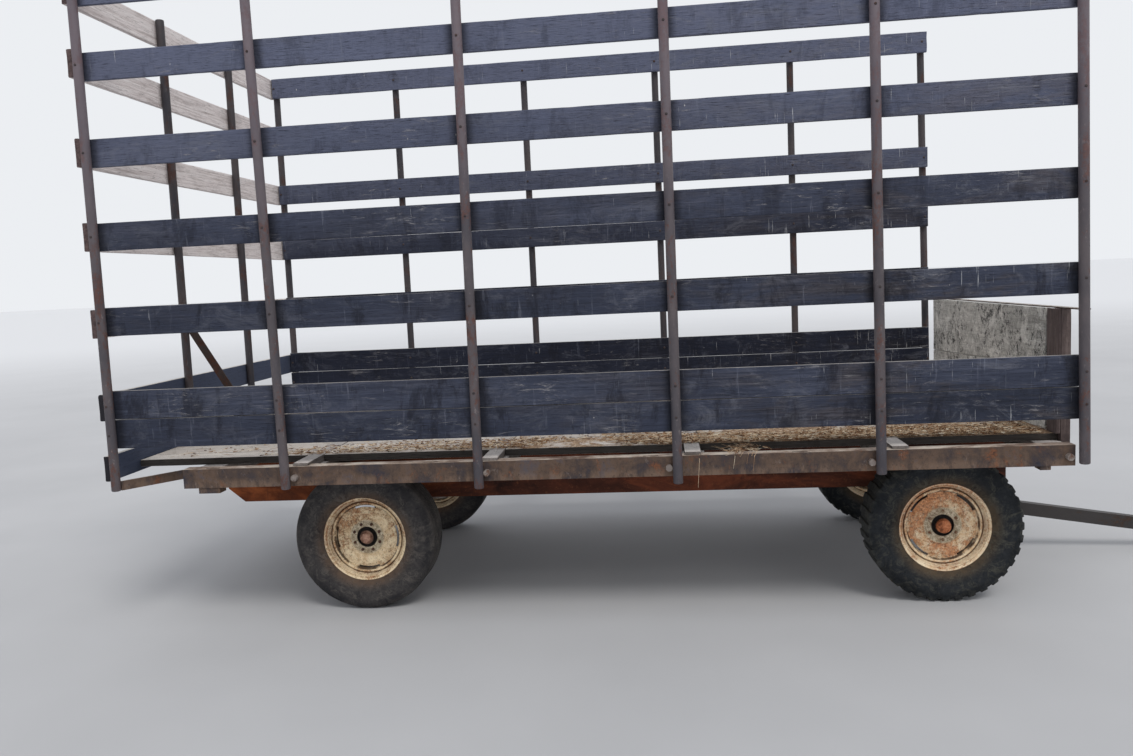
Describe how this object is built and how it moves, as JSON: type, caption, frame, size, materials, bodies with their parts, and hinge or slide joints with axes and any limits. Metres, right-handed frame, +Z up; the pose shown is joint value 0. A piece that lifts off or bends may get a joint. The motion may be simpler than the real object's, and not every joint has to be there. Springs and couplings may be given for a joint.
{
  "type": "hay wagon",
  "caption": "Slatted hay rack with pipe posts and a timber deck on a running gear with a steered front axle and a tongue.",
  "frame": {"origin": "on the ground under the middle of the whole length, on the wagon's centre plane", "axes": "+X forwards along the tongue, +Y to the wagon's left side, +Z up"},
  "size_m": [6.508, 2.5352, 3.4153],
  "materials": {
    "rack_board": "weathered dark stain",
    "rear_board": "weathered, dark outside and bare inside",
    "deck_timber": "bleached and littered with hay dust",
    "bulkhead_timber": "mottled grey",
    "post_steel": "rusty",
    "rail_steel": "rusty",
    "strap_steel": "rusty",
    "sill_steel": "worn red paint and rust",
    "pin_steel": "worn bright",
    "gear_steel": "dirty",
    "tongue_steel": "dull dark",
    "tyre_worn": "dusty",
    "tyre_lugged": "dusty",
    "rim_cream": "chipped and rust-stained",
    "rim_rusted": "mostly rust",
    "hub_steel": "rusty"
  },
  "bodies": {
    "wagon": {"side_rail_right": "rail_steel", "side_rail_left": "rail_steel", "main_sill_right": "sill_steel", "main_sill_left": "sill_steel", "side_slats_right": "rack_board", "side_slats_left": "rack_board", "base_boards_right": "rack_board", "base_boards_left": "rack_board", "posts_right": "post_steel", "posts_left": "post_steel", "rear_posts": "post_steel", "rear_boards": "rear_board", "rear_prop": "strap_steel", "corner_braces": "rail_steel", "cross_members": "deck_timber", "deck_planks": "deck_timber", "bulkhead_boards": "bulkhead_timber", "bulkhead_uprights": "bulkhead_timber", "bulkhead_cap": "strap_steel", "rail_pins": "pin_steel", "rail_tabs": "rail_steel", "front_bolster": "gear_steel", "rear_bolster": "gear_steel", "front_axle": "gear_steel", "rear_axle": "gear_steel", "reach_pole": "gear_steel", "rear_hounds": "gear_steel"},
    "knuckle_right": {"knuckle_right": "gear_steel"},
    "tie_rod_right": {"tie_rod_right": "gear_steel"},
    "front_wheel_right": {"tyre_front_right": "tyre_lugged", "rim_front_right": "rim_rusted", "hub_front_right": "hub_steel"},
    "rear_wheel_right": {"tyre_rear_right": "tyre_worn", "rim_rear_right": "rim_cream", "hub_rear_right": "hub_steel"},
    "knuckle_left": {"knuckle_left": "gear_steel"},
    "tie_rod_left": {"tie_rod_left": "gear_steel"},
    "front_wheel_left": {"tyre_front_left": "tyre_lugged", "rim_front_left": "rim_rusted", "hub_front_left": "hub_steel"},
    "rear_wheel_left": {"tyre_rear_left": "tyre_worn", "rim_rear_left": "rim_cream", "hub_rear_left": "hub_steel"},
    "tongue_swivel": {"tongue_swivel": "gear_steel"},
    "tongue": {"tongue": "tongue_steel", "hitch": "tongue_steel"}
  },
  "joints": [
    {"name": "tongue_swing", "type": "hinge", "parent": "wagon", "child": "tongue_swivel", "pos_m": [1.12972, 0, 0.34], "axis": [0, 0, 1], "range_deg": [-28, 28]},
    {"name": "tongue_lift", "type": "hinge", "parent": "tongue_swivel", "child": "tongue", "pos_m": [1.38772, 0, 0.335], "axis": [0, -1, 0], "range_deg": [0, 45]},
    {"name": "steer_right", "type": "hinge", "parent": "wagon", "child": "knuckle_right", "pos_m": [1.12972, -0.599, 0.4], "axis": [0, 0, 1], "range_deg": [-28, 28]},
    {"name": "tie_rod_pivot_right", "type": "hinge", "parent": "tongue_swivel", "child": "tie_rod_right", "pos_m": [1.28972, -0.05, 0.364], "axis": [0, 0, 1], "range_deg": [-28, 28]},
    {"name": "front_wheel_spin_right", "type": "hinge", "parent": "knuckle_right", "child": "front_wheel_right", "pos_m": [1.12972, -0.799, 0.4], "axis": [0, 1, 0], "continuous": true},
    {"name": "rear_wheel_spin_right", "type": "hinge", "parent": "wagon", "child": "rear_wheel_right", "pos_m": [-1.99328, -0.799, 0.4], "axis": [0, 1, 0], "continuous": true},
    {"name": "steer_left", "type": "hinge", "parent": "wagon", "child": "knuckle_left", "pos_m": [1.12972, 0.599, 0.4], "axis": [0, 0, 1], "range_deg": [-28, 28]},
    {"name": "tie_rod_pivot_left", "type": "hinge", "parent": "tongue_swivel", "child": "tie_rod_left", "pos_m": [1.28972, 0.05, 0.364], "axis": [0, 0, 1], "range_deg": [-28, 28]},
    {"name": "front_wheel_spin_left", "type": "hinge", "parent": "knuckle_left", "child": "front_wheel_left", "pos_m": [1.12972, 0.799, 0.4], "axis": [0, 1, 0], "continuous": true},
    {"name": "rear_wheel_spin_left", "type": "hinge", "parent": "wagon", "child": "rear_wheel_left", "pos_m": [-1.99328, 0.799, 0.4], "axis": [0, 1, 0], "continuous": true}
  ],
  "couplings": [
    {"joint": "steer_right", "follows": "tongue_swing", "ratio": 1},
    {"joint": "tie_rod_pivot_right", "follows": "tongue_swing", "ratio": -1},
    {"joint": "steer_left", "follows": "tongue_swing", "ratio": 1},
    {"joint": "tie_rod_pivot_left", "follows": "tongue_swing", "ratio": -1}
  ]
}
